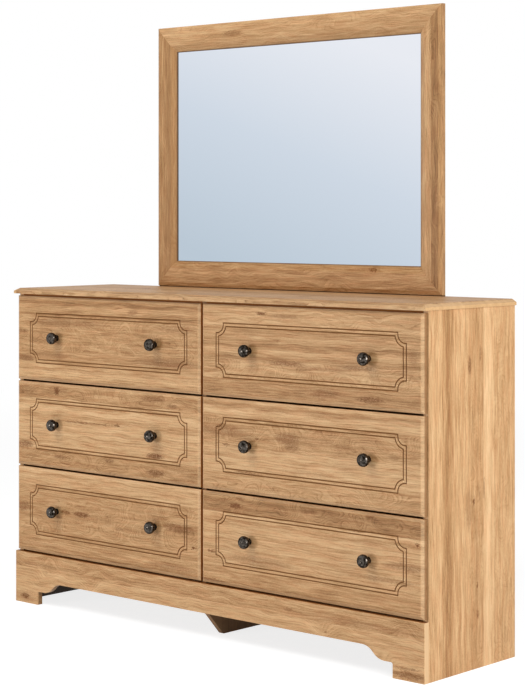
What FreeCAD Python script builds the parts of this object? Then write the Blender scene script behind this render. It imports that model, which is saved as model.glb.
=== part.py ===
import FreeCAD, Part
import math
import os

# Six-drawer dresser with a framed mirror standing on its top.
# Millimetres. +X is to the right as seen from the front, +Y to the back, +Z up.
# The origin is on the floor, under the middle of the whole piece.

# ---------------------------------------------------------------- driving dimensions

# Case
dresser_height = 914.0          # floor to the top surface
case_width = 1488.0             # over the two side panels
case_depth = 384.0              # front of the base rail to the back of the case
top_thickness = 16.0
side_thickness = 16.0
partition_thickness = 15.0
stretcher_thickness = 16.0
back_panel_thickness = 3.0

# Top panel
top_side_overhang = 5.0
top_front_overhang = 3.0
top_bevel_width = 13.0
top_bevel_height = 8.0
top_arris_radius = 2.5

# Base rail and its arch
base_rail_height = 147.4
base_rail_thickness = 17.0
base_rail_arris_radius = 2.0
arch_height = 69.0              # floor to the flat underside of the rail
foot_width = 96.5
foot_notch_height = 38.0        # floor to the short ledge beside each foot
foot_ledge_width = 26.0
foot_corner_radius = 5.0        # left by the cutter where the ledge meets the foot
ogee_run = 70.0                 # the arch's S-curved end, from the flat underside to the ledge

# Centre partition's toe, cut back below the base rail
toe_height = 72.0
toe_setback = 66.0
toe_tip_radius = 7.0

# Stretchers, back panel and glue blocks
stretcher_width = 70.0          # the flat ones at the front
rear_stretcher_height = 50.0
rear_base_bottom = 80.0         # floor to the back panel and the stretcher behind the base
back_panel_rabbet = 8.0         # how far the side panels are cut in for the back panel
back_panel_clearance = 0.3
corner_block_leg = 45.0
corner_block_bottom = 8.0
partition_block_leg = 40.0
partition_block_rise = 10.0     # above the toe

# Dowels between the top and the uprights
dowel_diameter = 8.0
dowel_length = 30.0
dowel_in_top = 10.0
dowel_end_margin = 55.0
dowels_per_upright = 3
dowel_fit = 0.05

# Drawer fronts
row_names = ("bottom", "middle", "top")
drawer_front_thickness = 13.5
drawer_closing_gap = 1.0        # drawer front to the case's front edges
gap_over_base_rail = 4.6
gap_between_rows = 5.4
gap_under_top = 6.2
gap_between_columns = 7.4
side_reveal = 4.7               # strip of the side panel's edge that shows beside a drawer front
front_bevel_width = 9.0
front_bevel_depth = 5.0

# Routed double line on each drawer front
line_inset_x = 52.0
line_inset_z = 49.8
line_offset_up = 1.0            # above the middle of the front
line_offset_in = 4.0            # towards the partition, on the left-hand fronts
line_spacing = 9.2
line_width = 4.2
line_depth = 2.2
router_overrun = 0.5            # how far the cutter starts in front of the face
notch_size = 26.0
notch_step = 4.0

# Drawer boxes
box_rear_clearance = 5.0        # drawer box to the rear stretchers
box_lift = 25.0                 # lower edge of the box above the lower edge of the front
box_headroom = 53.0             # upper edge of the box below the upper edge of the front
box_side_thickness = 12.0
box_back_thickness = 12.0
box_back_drop = 8.0             # back board below the top edge of the sides
box_bottom_thickness = 3.2
box_groove_depth = 5.0
box_groove_height = 10.0        # groove above the lower edge of the box sides
box_groove_clearance = 0.2

# Drawer runners
runner_side_gap = 12.5          # case wall to drawer side
runner_setback = 2.0            # in from the case's front edges and from the rear of the box
runner_height = 35.0
runner_mouth_gap = 2.5          # cabinet member to drawer side
runner_lip = 3.0
runner_metal = 1.2
runner_clearance = 0.4

# Knobs
knob_diameter = 34.0
knob_length = 32.0              # drawer face to the tip of the knob
knob_rim_height = 20.0          # drawer face to the widest part
knob_foot_diameter = 18.0
knob_neck_diameter = 16.0
knob_neck_height = 6.0          # drawer face to the narrowest part
knob_foot_thickness = 2.5
knob_throat_diameter = 23.0     # where the neck opens out under the head
knob_throat_height = 9.6
knob_rim_half_height = 7.0
knob_rim_round = 2.5
knob_shoulder_height = 28.0     # drawer face to the foot of the dome
knob_ring_diameter = 24.0
knob_ring_width = 2.4
knob_ring_depth = 0.6
knob_spacing = 396.0
knob_offset_up = 4.0            # above the middle of the front
knob_screw_diameter = 4.0
knob_screw_depth = 13.0         # into the knob
knob_screw_head_diameter = 8.0
knob_screw_head_height = 2.4
thread_clearance = 0.05
screw_hole_clearance = 0.25

# Mirror
mirror_width = 1050.0
mirror_height = 767.5
mirror_foot_height = 2.5        # a tongue at the rear carries the frame just clear of the top
mirror_foot_setback = 9.0       # front of the frame to the front of that tongue
moulding_width = 75.0
moulding_outer_bevel_width = 10.5
moulding_outer_bevel_depth = 4.7
moulding_inner_bevel_width = 20.0
moulding_inner_bevel_depth = 10.0
moulding_lip = 2.0              # wood left in front of the glass
glass_rabbet = 12.0             # how far the glass reaches in behind the moulding
glass_thickness = 3.0
backing_thickness = 3.0
glass_clearance = 0.5

# Mirror battens and their screws
batten_width = 60.0
batten_thickness = 18.0
batten_spacing = 600.0
batten_below_top = 214.0        # lower end of the batten below the top surface
batten_top_margin = 30.0        # top of the batten below the top of the mirror
batten_screw_diameter = 4.5
batten_screw_bite = 12.0        # how far a screw reaches past the batten
batten_screw_head_diameter = 9.0
batten_screw_head_height = 2.5
batten_screw_spacing = 30.0

# ---------------------------------------------------------------- derived planes

case_half = case_width / 2
side_inner = case_half - side_thickness
partition_half = partition_thickness / 2
top_underside = dresser_height - top_thickness

drawer_setback = base_rail_thickness - drawer_closing_gap - drawer_front_thickness
front_reach = max(knob_length - drawer_setback, top_front_overhang)
rear_reach = case_depth + batten_thickness + batten_screw_head_height
rail_front = (front_reach - rear_reach) / 2
upright_front = rail_front + base_rail_thickness
drawer_face = rail_front + drawer_setback
drawer_rear_face = drawer_face + drawer_front_thickness
case_back = rail_front + case_depth
back_panel_front = case_back - back_panel_thickness
batten_back = case_back + batten_thickness
rear_stretcher_front = back_panel_front - stretcher_thickness

rows = range(len(row_names))
rows_height = top_underside - gap_under_top - base_rail_height - gap_over_base_rail
drawer_front_height = (rows_height - (len(rows) - 1) * gap_between_rows) / len(rows)
front_inner_x = gap_between_columns / 2
front_outer_x = case_half - side_reveal

box_inner_x = partition_half + runner_side_gap
box_outer_x = side_inner - runner_side_gap
box_rear = rear_stretcher_front - box_rear_clearance
box_height = drawer_front_height - box_lift - box_headroom
groove_height = box_bottom_thickness + 2 * box_groove_clearance

runner_start = upright_front + runner_setback
runner_length = box_rear - runner_setback - runner_start

moulding_thickness = moulding_inner_bevel_depth + moulding_lip + glass_thickness + backing_thickness
moulding_back = case_back
moulding_front = moulding_back - moulding_thickness
mirror_bottom = dresser_height + mirror_foot_height
mirror_top = mirror_bottom + mirror_height
glass_front = moulding_front + moulding_inner_bevel_depth + moulding_lip


# ---------------------------------------------------------------- shapes that several pieces use

def board(x_range, y_range, z_range):
    """A rectangular board between two values on each axis, given in either order."""
    low = [min(pair) for pair in (x_range, y_range, z_range)]
    high = [max(pair) for pair in (x_range, y_range, z_range)]
    size = [b - a for a, b in zip(low, high)]
    return Part.makeBox(size[0], size[1], size[2], FreeCAD.Vector(*low))


def extrude_polygon(points, direction):
    """A straight bar: a closed polygon of points carried along a direction."""
    wire = Part.makePolygon([FreeCAD.Vector(*point) for point in points + points[:1]])
    return Part.Face(wire).extrude(FreeCAD.Vector(*direction))


def rod(centre, radius, start_y, end_y):
    """A round rod along Y, centred on (x, z)."""
    foot = FreeCAD.Vector(centre[0], start_y, centre[1])
    return Part.makeCylinder(radius, end_y - start_y, foot, FreeCAD.Vector(0, 1, 0))


def pan_screw(centre, shank_radius, tip_y, seat_y, head_radius, head_height):
    """A screw along Y: its shank from tip to seat, and a slightly coned pan head behind the seat."""
    shank = rod(centre, shank_radius, tip_y, seat_y)
    seat = FreeCAD.Vector(centre[0], seat_y, centre[1])
    crown_radius = 0.7 * head_radius
    head = Part.makeCone(head_radius, crown_radius, head_height, seat, FreeCAD.Vector(0, 1, 0))
    return shank.fuse(head)


def mirrored(shape):
    """The same piece on the other side of the middle plane X = 0."""
    return shape.mirror(FreeCAD.Vector(0, 0, 0), FreeCAD.Vector(1, 0, 0))


def write_node(name, shapes):
    """Write one node: a single solid, or a group of separate solids."""
    solids = [solid for shape in shapes for solid in shape.Solids]
    group = solids[0] if len(solids) == 1 else Part.makeCompound(solids)
    group.exportStep("parts/" + name + ".step")


# ---------------------------------------------------------------- case

def dowel_places():
    """Centres (x, y) of the dowels: a row along the top edge of each upright."""
    first_y = upright_front + dowel_end_margin
    last_y = back_panel_front - dowel_end_margin
    step = (last_y - first_y) / (dowels_per_upright - 1)
    rows_x = (-case_half + side_thickness / 2, 0.0, case_half - side_thickness / 2)
    return [(x, first_y + index * step) for x in rows_x for index in range(dowels_per_upright)]


def dowel(place, radius):
    foot = FreeCAD.Vector(place[0], place[1], top_underside + dowel_in_top - dowel_length)
    return Part.makeCylinder(radius, dowel_length, foot)


def dowel_holes():
    return Part.makeCompound([dowel(place, dowel_diameter / 2 + dowel_fit) for place in dowel_places()])


def top_panel():
    """A flat panel, bevelled along the upper edge of its front and its two ends; the back is square."""
    half = case_half + top_side_overhang
    front = rail_front - top_front_overhang
    bevel_foot = dresser_height - top_bevel_height
    slab = board((-half, half), (front, case_back), (top_underside, bevel_foot))
    # A wedge tapers along its own Y; turned about X, that becomes the height of the bevel.
    taper = Part.makeWedge(
        -half, 0, -case_back, -case_back, -half + top_bevel_width,
        half, top_bevel_height, -front, -front - top_bevel_width, half - top_bevel_width)
    taper.rotate(FreeCAD.Vector(0, 0, 0), FreeCAD.Vector(1, 0, 0), 90)
    taper.translate(FreeCAD.Vector(0, 0, bevel_foot))
    panel = slab.fuse(taper)
    arris = [edge for edge in panel.Edges if on_top_arris(edge, half, front)]
    return panel.makeFillet(top_arris_radius, arris).cut(dowel_holes())


def on_top_arris(edge, half, front):
    """True for the three edges where the bevel meets the flat top."""
    middle = edge.CenterOfMass
    at_top = edge.BoundBox.ZMin > dresser_height - 0.01
    at_front = abs(middle.y - (front + top_bevel_width)) < 0.01
    at_end = abs(abs(middle.x) - (half - top_bevel_width)) < 0.01
    return at_top and (at_front or at_end)


def side_panel():
    """The right-hand side: full height, with a rabbet behind for the back panel."""
    panel = board((side_inner, case_half), (upright_front, case_back), (0, top_underside))
    rabbet = board((side_inner, side_inner + back_panel_rabbet), (back_panel_front, case_back),
                   (0, top_underside))
    return panel.cut(rabbet)


def centre_partition():
    """A full-height upright whose lower front corner is cut back and rounded at its tip."""
    toe = [(-partition_half, upright_front, toe_height),
           (-partition_half, upright_front + toe_setback, 0),
           (-partition_half, back_panel_front, 0),
           (-partition_half, back_panel_front, top_underside),
           (-partition_half, upright_front, top_underside)]
    panel = extrude_polygon(toe, (partition_thickness, 0, 0))
    tip_y = upright_front + toe_setback
    tip = [edge for edge in panel.Edges
           if edge.BoundBox.ZMax < 0.01 and abs(edge.CenterOfMass.y - tip_y) < 0.01]
    return panel.makeFillet(toe_tip_radius, tip)


def base_rail():
    """A board across the whole front, cut from below to two feet and a flat arch with ogee ends."""
    foot_inner = case_half - foot_width
    ledge_inner = foot_inner - foot_ledge_width
    flat_end = ledge_inner - ogee_run
    # An ogee is two equal arcs, tangent to each other, to the flat underside and to the ledge.
    ogee_drop = arch_height - foot_notch_height
    ogee_radius = (ogee_run ** 2 + ogee_drop ** 2) / (4 * ogee_drop)
    half_angle = math.atan(ogee_drop / ogee_run)
    half_run = ogee_radius * math.sin(half_angle)
    half_drop = ogee_radius * (1 - math.cos(half_angle))
    ogee_middle = (flat_end + ogee_run / 2, arch_height - ogee_drop / 2)
    corner_bend = foot_corner_radius * (1 - math.sqrt(0.5))

    def corner(x, z):
        return FreeCAD.Vector(x, rail_front, z)

    edges = []
    for side in (1, -1):
        ledge = [corner(side * ledge_inner, foot_notch_height),
                 corner(side * (foot_inner - foot_corner_radius), foot_notch_height)]
        foot = [corner(side * foot_inner, foot_notch_height - foot_corner_radius),
                corner(side * foot_inner, 0),
                corner(side * case_half, 0),
                corner(side * case_half, base_rail_height)]
        hollow = Part.Arc(corner(side * flat_end, arch_height),
                          corner(side * (flat_end + half_run), arch_height - half_drop),
                          corner(side * ogee_middle[0], ogee_middle[1]))
        swell = Part.Arc(corner(side * ogee_middle[0], ogee_middle[1]),
                         corner(side * (ledge_inner - half_run), foot_notch_height + half_drop),
                         ledge[0])
        inside_corner = Part.Arc(ledge[1],
                                 corner(side * (foot_inner - corner_bend), foot_notch_height - corner_bend),
                                 foot[0])
        edges += [hollow.toShape(), swell.toShape(), inside_corner.toShape()]
        edges += [Part.makeLine(a, b) for run in (ledge, foot) for a, b in zip(run, run[1:])]
    edges.append(Part.makeLine(corner(-flat_end, arch_height), corner(flat_end, arch_height)))
    edges.append(Part.makeLine(corner(-case_half, base_rail_height), corner(case_half, base_rail_height)))
    outline = Part.Wire(Part.__sortEdges__(edges))
    rail = Part.Face(outline).extrude(FreeCAD.Vector(0, base_rail_thickness, 0))
    arris = [edge for edge in rail.Edges if on_rail_arris(edge)]
    return rail.makeFillet(base_rail_arris_radius, arris)


def on_rail_arris(edge):
    """True for the front edges along the top and the two ends of the base rail."""
    box = edge.BoundBox
    at_front = box.YMax < rail_front + 0.01
    along_top = box.ZMin > base_rail_height - 0.01
    along_end = min(abs(box.XMin), abs(box.XMax)) > case_half - 0.01
    return at_front and (along_top or along_end)


def back_panel():
    half = side_inner + back_panel_rabbet - back_panel_clearance
    panel = board((-half, half), (back_panel_front, case_back), (rear_base_bottom, top_underside))
    return panel.cut(batten_screw_holes())


def case_stretchers():
    """In each bay: flat boards behind the fronts, above and below, and upright ones at the back."""
    front_y = (upright_front, upright_front + stretcher_width)
    rear_y = (rear_stretcher_front, back_panel_front)
    bay_x = (partition_half, side_inner)
    base_top = base_rail_height
    pieces = [
        board(bay_x, front_y, (top_underside - stretcher_thickness, top_underside)),
        board(bay_x, front_y, (base_top - stretcher_thickness, base_top)),
        board(bay_x, rear_y, (top_underside - rear_stretcher_height, top_underside)),
        board(bay_x, rear_y, (rear_base_bottom, rear_base_bottom + rear_stretcher_height)),
    ]
    both_bays = pieces + [mirrored(piece) for piece in pieces]
    return [piece.cut(batten_screw_holes()) for piece in both_bays]


def glue_block(corner_x, toward, leg, bottom):
    """A three-sided block in the corner between the base rail and an upright."""
    triangle = [(corner_x, upright_front, bottom),
                (corner_x + toward * leg, upright_front, bottom),
                (corner_x, upright_front + leg, bottom)]
    height = base_rail_height - stretcher_thickness - bottom
    return extrude_polygon(triangle, (0, 0, height))


def glue_blocks():
    right = [glue_block(side_inner, -1, corner_block_leg, corner_block_bottom),
             glue_block(partition_half, 1, partition_block_leg, toe_height + partition_block_rise)]
    return right + [mirrored(block) for block in right]


# ---------------------------------------------------------------- drawers

def row_bottom(row):
    """Lower edge of a drawer front; row 0 is the lowest."""
    pitch = drawer_front_height + gap_between_rows
    return base_rail_height + gap_over_base_rail + row * pitch


def knob_places(row):
    """Centres (x, z) of a front's two knobs."""
    middle_x = (front_inner_x + front_outer_x) / 2
    z = row_bottom(row) + drawer_front_height / 2 + knob_offset_up
    return [(middle_x - knob_spacing / 2, z), (middle_x + knob_spacing / 2, z)]


def notched_outline(row, inward, inset, y, steps):
    """The routed line's outline, a set distance in from its outer groove's centre line.

    A rectangle whose corners are notched by arcs about a point near each corner. The outer
    groove has short steps that join the arcs to the sides; the inner one's arcs meet the sides.
    """
    middle_x = (front_inner_x + front_outer_x) / 2 - inward
    middle_z = row_bottom(row) + drawer_front_height / 2 + line_offset_up
    half_x = (front_outer_x - front_inner_x) / 2 - line_inset_x
    half_z = drawer_front_height / 2 - line_inset_z
    radius = notch_size - notch_step + inset
    arc_centre = (half_x - notch_step, half_z - notch_step)
    reach = radius if steps else math.sqrt(radius ** 2 - (inset - notch_step) ** 2)
    side_x = half_x - inset
    side_z = half_z - inset

    def point(sign_x, sign_z, x, z):
        return FreeCAD.Vector(middle_x + sign_x * x, y, middle_z + sign_z * z)

    edges = []
    for sign_x, sign_z in ((1, 1), (-1, 1), (-1, -1), (1, -1)):
        arc_foot_x = arc_centre[0] if steps else side_x
        arc_foot_z = arc_centre[1] if steps else side_z
        low = (arc_foot_x, arc_centre[1] - reach)
        high = (arc_centre[0] - reach, arc_foot_z)
        middle = (arc_centre[0] - radius * math.sqrt(0.5), arc_centre[1] - radius * math.sqrt(0.5))
        arc = Part.Arc(point(sign_x, sign_z, *low), point(sign_x, sign_z, *middle),
                       point(sign_x, sign_z, *high)).toShape()
        corner = [arc]
        if steps:
            corner.append(Part.makeLine(point(sign_x, sign_z, side_x, low[1]), point(sign_x, sign_z, *low)))
            corner.append(Part.makeLine(point(sign_x, sign_z, *high), point(sign_x, sign_z, high[0], side_z)))
        edges += corner
    low_z = arc_centre[1] - reach
    high_x = arc_centre[0] - reach
    for sign in (1, -1):
        edges.append(Part.makeLine(point(sign, 1, side_x, low_z), point(sign, -1, side_x, low_z)))
        edges.append(Part.makeLine(point(1, sign, high_x, side_z), point(-1, sign, high_x, side_z)))
    return Part.Wire(Part.__sortEdges__(edges))


def routed_groove(row, inward, inset):
    """A V-groove along the notched outline, as the solid that a router takes away."""
    spread = line_width / 2 * (1 + router_overrun / line_depth)
    start_y = drawer_face - router_overrun
    apex_y = drawer_face + line_depth
    steps = inset < notch_step
    apex = notched_outline(row, inward, inset, apex_y, steps)
    outer = Part.makeLoft([notched_outline(row, inward, inset - spread, start_y, steps), apex], True, True)
    inner = Part.makeLoft([notched_outline(row, inward, inset + spread, start_y, steps), apex], True, True)
    return outer.cut(inner)


def drawer_front(row, inward):
    """A board with a bevelled edge, a routed double line, knob screw holes and the bottom's groove.

    The double line lies a little inward of the middle, which differs between the two columns.
    """
    bottom = row_bottom(row)
    top = bottom + drawer_front_height
    bevel_foot = drawer_face + front_bevel_depth
    slab = board((front_inner_x, front_outer_x), (bevel_foot, drawer_rear_face), (bottom, top))
    bevel = Part.makeWedge(
        front_inner_x + front_bevel_width, drawer_face, bottom + front_bevel_width,
        bottom, front_inner_x,
        front_outer_x - front_bevel_width, bevel_foot, top - front_bevel_width,
        top, front_outer_x)
    front = slab.fuse(bevel)
    cuts = [routed_groove(row, inward, 0.0), routed_groove(row, inward, line_spacing)]
    cuts.append(box_bottom_slot(row))
    hole_radius = knob_screw_diameter / 2 + screw_hole_clearance
    cuts += [rod(place, hole_radius, drawer_face, drawer_rear_face) for place in knob_places(row)]
    for cutter in cuts:
        front = front.cut(cutter)
    return front


def box_bottom_slot(row):
    """The space that the grooves in the front, the sides and the back leave for the bottom."""
    z = row_bottom(row) + box_lift + box_groove_height
    inner_x = box_inner_x + box_side_thickness - box_groove_depth
    outer_x = box_outer_x - box_side_thickness + box_groove_depth
    return board((inner_x, outer_x),
                 (drawer_rear_face - box_groove_depth, box_rear - box_back_thickness + box_groove_depth),
                 (z, z + groove_height))


def box_side(row, outer):
    """One side of the drawer box; the outer one runs beside the case's side panel."""
    bottom = row_bottom(row) + box_lift
    if outer:
        x_range = (box_outer_x - box_side_thickness, box_outer_x)
    else:
        x_range = (box_inner_x, box_inner_x + box_side_thickness)
    side = board(x_range, (drawer_rear_face, box_rear), (bottom, bottom + box_height))
    return side.cut(box_bottom_slot(row))


def box_back(row):
    bottom = row_bottom(row) + box_lift
    back = board((box_inner_x + box_side_thickness, box_outer_x - box_side_thickness),
                 (box_rear - box_back_thickness, box_rear),
                 (bottom, bottom + box_height - box_back_drop))
    return back.cut(box_bottom_slot(row))


def box_bottom(row):
    """A thin panel that fills the grooves, less a small clearance all round."""
    slot = box_bottom_slot(row).BoundBox
    gap = box_groove_clearance
    return board((slot.XMin + gap, slot.XMax - gap), (slot.YMin + gap, slot.YMax - gap),
                 (slot.ZMin + gap, slot.ZMax - gap))


def knob(centre):
    """A turned knob: foot, waisted neck, a full rounded head, a fine ring and a dome."""
    rim = knob_diameter / 2
    foot = knob_foot_diameter / 2
    neck = knob_neck_diameter / 2
    throat = knob_throat_diameter / 2
    ring = knob_ring_diameter / 2
    under_rim = knob_rim_height - knob_rim_half_height
    over_rim = knob_rim_height + knob_rim_half_height
    # The dome is part of a sphere that ends at the ring.
    dome_foot = ring - knob_ring_width / 2
    dome_rise = knob_length - knob_shoulder_height
    dome_radius = (dome_foot ** 2 + dome_rise ** 2) / (2 * dome_rise)
    half_angle = math.asin(dome_foot / dome_radius) / 2

    def at(radius, length):
        return FreeCAD.Vector(centre[0] + radius, drawer_face - length, centre[1])

    waist = Part.BSplineCurve()
    waist.interpolate([at(foot, knob_foot_thickness), at(neck, knob_neck_height),
                       at(throat, knob_throat_height), at(rim - knob_rim_round, under_rim)])
    rim_edge = Part.Arc(at(rim - knob_rim_round, under_rim), at(rim, knob_rim_height),
                        at(rim - knob_rim_round, over_rim))
    dome = Part.Arc(at(dome_foot, knob_shoulder_height),
                    at(dome_radius * math.sin(half_angle),
                       knob_length - dome_radius * (1 - math.cos(half_angle))),
                    at(0, knob_length))
    shoulder = at(ring + knob_ring_width / 2, knob_shoulder_height)
    ring_floor = at(ring, knob_shoulder_height - knob_ring_depth)
    edges = [
        Part.makeLine(at(0, 0), at(foot, 0)),
        Part.makeLine(at(foot, 0), at(foot, knob_foot_thickness)),
        waist.toShape(),
        rim_edge.toShape(),
        Part.makeLine(at(rim - knob_rim_round, over_rim), shoulder),
        Part.makeLine(shoulder, ring_floor),
        Part.makeLine(ring_floor, at(dome_foot, knob_shoulder_height)),
        dome.toShape(),
        Part.makeLine(at(0, knob_length), at(0, 0)),
    ]
    profile = Part.Face(Part.Wire(edges))
    axis_foot = FreeCAD.Vector(centre[0], 0, centre[1])
    turned = profile.revolve(axis_foot, FreeCAD.Vector(0, 1, 0), 360)
    bore_radius = knob_screw_diameter / 2 + thread_clearance
    return turned.cut(rod(centre, bore_radius, drawer_face - knob_screw_depth, drawer_face))


def knob_screw(centre):
    """The screw that holds a knob, put in from inside the drawer."""
    tip = drawer_face - knob_screw_depth + thread_clearance
    return pan_screw(centre, knob_screw_diameter / 2, tip, drawer_rear_face,
                     knob_screw_head_diameter / 2, knob_screw_head_height)


# ---------------------------------------------------------------- drawer runners

def channel(wall_x, toward, row, upper_half):
    """A steel channel along Y on a wall, from the upper half of its section, mirrored below."""
    lower_half = [(reach, -height) for reach, height in reversed(upper_half)]
    middle = row_bottom(row) + box_lift + box_height / 2
    section = [(wall_x + toward * reach, runner_start, middle + height)
               for reach, height in upper_half + lower_half]
    return extrude_polygon(section, (0, runner_length, 0))


def cabinet_member(wall_x, toward, row):
    """The outer channel, fixed to the case, with lips turned in at its mouth."""
    mouth = runner_side_gap - runner_mouth_gap
    half_height = runner_height / 2
    inside = half_height - runner_metal
    section = [(0, half_height), (mouth, half_height), (mouth, inside - runner_lip),
               (mouth - runner_metal, inside - runner_lip), (mouth - runner_metal, inside),
               (runner_metal, inside)]
    return channel(wall_x, toward, row, section)


def drawer_member(wall_x, toward, row):
    """The inner channel, fixed to the drawer; its flanges run between the outer one's lips."""
    half_height = runner_height / 2 - runner_metal - runner_lip - runner_clearance
    reach = runner_side_gap - runner_metal - runner_clearance
    inside = half_height - runner_metal
    section = [(0, half_height), (reach, half_height), (reach, inside), (runner_metal, inside)]
    return channel(wall_x, toward, row, section)


def cabinet_runners():
    """All the outer channels: one on a side panel and one on the partition for each drawer."""
    right = []
    for row in rows:
        right.append(cabinet_member(side_inner, -1, row))
        right.append(cabinet_member(partition_half, 1, row))
    return right + [mirrored(member) for member in right]


# ---------------------------------------------------------------- mirror

def moulding_profile():
    """The moulding's section as (distance in from the outer edge, distance behind the front face)."""
    inner = moulding_width
    lip_back = moulding_inner_bevel_depth + moulding_lip
    return [(0, moulding_outer_bevel_depth),
            (moulding_outer_bevel_width, 0),
            (inner - moulding_inner_bevel_width, 0),
            (inner, moulding_inner_bevel_depth),
            (inner, lip_back),
            (inner - glass_rabbet, lip_back),
            (inner - glass_rabbet, moulding_thickness),
            (0, moulding_thickness)]


def mitred_moulding(length):
    """A moulding along X, its outer edge on z = 0 and its ends cut at 45 degrees."""
    half = length / 2
    section = [(-half, y, z) for z, y in moulding_profile()]
    bar = extrude_polygon(section, (length, 0, 0))
    plan = [(-half, 0, 0), (half, 0, 0), (half - moulding_width, 0, moulding_width),
            (-half + moulding_width, 0, moulding_width)]
    return bar.common(extrude_polygon(plan, (0, moulding_thickness, 0)))


def place_moulding(length, turn, distance):
    """Turn a moulding about the mirror's middle, its outer edge a set distance from it."""
    piece = mitred_moulding(length)
    piece.translate(FreeCAD.Vector(0, moulding_front, -distance))
    piece.rotate(FreeCAD.Vector(0, 0, 0), FreeCAD.Vector(0, 1, 0), turn)
    piece.translate(FreeCAD.Vector(0, 0, mirror_bottom + mirror_height / 2))
    return piece.cut(batten_screw_holes())


def mirror_frame_bottom():
    """The lower moulding, with the tongue under its rear part that stands on the top."""
    half = mirror_width / 2
    tongue = board((-half, half), (moulding_front + mirror_foot_setback, moulding_back),
                   (dresser_height, mirror_bottom))
    return place_moulding(mirror_width, 0, mirror_height / 2).fuse(tongue).removeSplitter()


def mirror_sheet(front_y, thickness):
    """A sheet in the moulding's rabbet: the glass, or the board behind it."""
    edge = moulding_width - glass_rabbet + glass_clearance
    half = mirror_width / 2 - edge
    return board((-half, half), (front_y, front_y + thickness), (mirror_bottom + edge, mirror_top - edge))


def batten_x():
    return (-batten_spacing / 2, batten_spacing / 2)


def batten_screw_places():
    """Centres (x, z): pairs into the case's rear stretcher and the mirror's lower and upper mouldings."""
    wood = (moulding_width - glass_rabbet) / 2
    heights = (top_underside - rear_stretcher_height / 2, mirror_bottom + wood, mirror_top - wood)
    offsets = (-batten_screw_spacing / 2, batten_screw_spacing / 2)
    return [(x + offset, z) for x in batten_x() for z in heights for offset in offsets]


def batten_screw_holes():
    radius = batten_screw_diameter / 2 + thread_clearance
    tip = case_back - batten_screw_bite - thread_clearance
    return Part.makeCompound([rod(place, radius, tip, batten_back) for place in batten_screw_places()])


def mirror_battens():
    """Two upright battens behind the case and the mirror."""
    top = mirror_top - batten_top_margin
    half = batten_width / 2
    bottom = dresser_height - batten_below_top
    battens = [board((x - half, x + half), (case_back, batten_back), (bottom, top)) for x in batten_x()]
    return [batten.cut(batten_screw_holes()) for batten in battens]


def batten_screws():
    return [pan_screw(place, batten_screw_diameter / 2, case_back - batten_screw_bite, batten_back,
                      batten_screw_head_diameter / 2, batten_screw_head_height)
            for place in batten_screw_places()]


# ---------------------------------------------------------------- write the nodes

os.makedirs("parts", exist_ok=True)

write_node("top_panel", [top_panel()])
write_node("side_panel_right", [side_panel().cut(dowel_holes())])
write_node("side_panel_left", [mirrored(side_panel()).cut(dowel_holes())])
write_node("centre_partition", [centre_partition().cut(dowel_holes())])
write_node("base_rail", [base_rail()])
write_node("back_panel", [back_panel()])
write_node("case_stretchers", case_stretchers())
write_node("glue_blocks", glue_blocks())
write_node("top_dowels", [dowel(place, dowel_diameter / 2) for place in dowel_places()])
write_node("cabinet_runners", cabinet_runners())

write_node("mirror_frame_bottom", [mirror_frame_bottom()])
write_node("mirror_frame_top", [place_moulding(mirror_width, 180, mirror_height / 2)])
write_node("mirror_frame_left", [place_moulding(mirror_height, 90, mirror_width / 2)])
write_node("mirror_frame_right", [place_moulding(mirror_height, -90, mirror_width / 2)])
write_node("mirror_glass", [mirror_sheet(glass_front, glass_thickness)])
backing_front = glass_front + glass_thickness
write_node("mirror_backing", [mirror_sheet(backing_front, backing_thickness)])
write_node("mirror_battens", mirror_battens())
write_node("batten_screws", batten_screws())

for row, row_name in enumerate(row_names):
    write_node("drawer_" + row_name + "_right_front", [drawer_front(row, 0.0)])
    write_node("drawer_" + row_name + "_left_front", [mirrored(drawer_front(row, line_offset_in))])
    screws = [knob_screw(place) for place in knob_places(row)]
    pieces = {
        "side_outer": [box_side(row, True)],
        "side_inner": [box_side(row, False)],
        "back": [box_back(row)],
        "base": [box_bottom(row)],
        "knobs": [knob(place) for place in knob_places(row)] + screws,
        "runners": [drawer_member(box_outer_x, 1, row), drawer_member(box_inner_x, -1, row)],
    }
    for piece_name, shapes in pieces.items():
        write_node("drawer_" + row_name + "_right_" + piece_name, shapes)
        write_node("drawer_" + row_name + "_left_" + piece_name, [mirrored(shape) for shape in shapes])
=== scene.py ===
import math

import bpy
import numpy as np
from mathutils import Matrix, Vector


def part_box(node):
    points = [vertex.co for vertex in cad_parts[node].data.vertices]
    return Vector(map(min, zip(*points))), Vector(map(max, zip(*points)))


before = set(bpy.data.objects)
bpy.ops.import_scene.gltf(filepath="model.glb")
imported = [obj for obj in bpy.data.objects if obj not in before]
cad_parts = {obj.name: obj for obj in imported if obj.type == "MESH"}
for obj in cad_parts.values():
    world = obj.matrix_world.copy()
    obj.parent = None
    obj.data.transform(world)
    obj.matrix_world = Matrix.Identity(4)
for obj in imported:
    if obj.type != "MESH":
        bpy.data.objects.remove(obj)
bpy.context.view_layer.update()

# ================================================================ studio
# A pale matt floor that runs into a white surround. Soft square lamps stand low in front on the left,
# beside the right-hand end and overhead, and the camera is at chest height, off the right-hand end.


def linear(colour):
    """An sRGB hex colour as linear red, green, blue and alpha."""
    channels = np.array([int(colour[i:i + 2], 16) for i in (1, 3, 5)]) / 255
    bent = np.where(channels <= 0.04045, channels / 12.92, ((channels + 0.055) / 1.055) ** 2.4)
    return (*bent.tolist(), 1.0)


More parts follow.
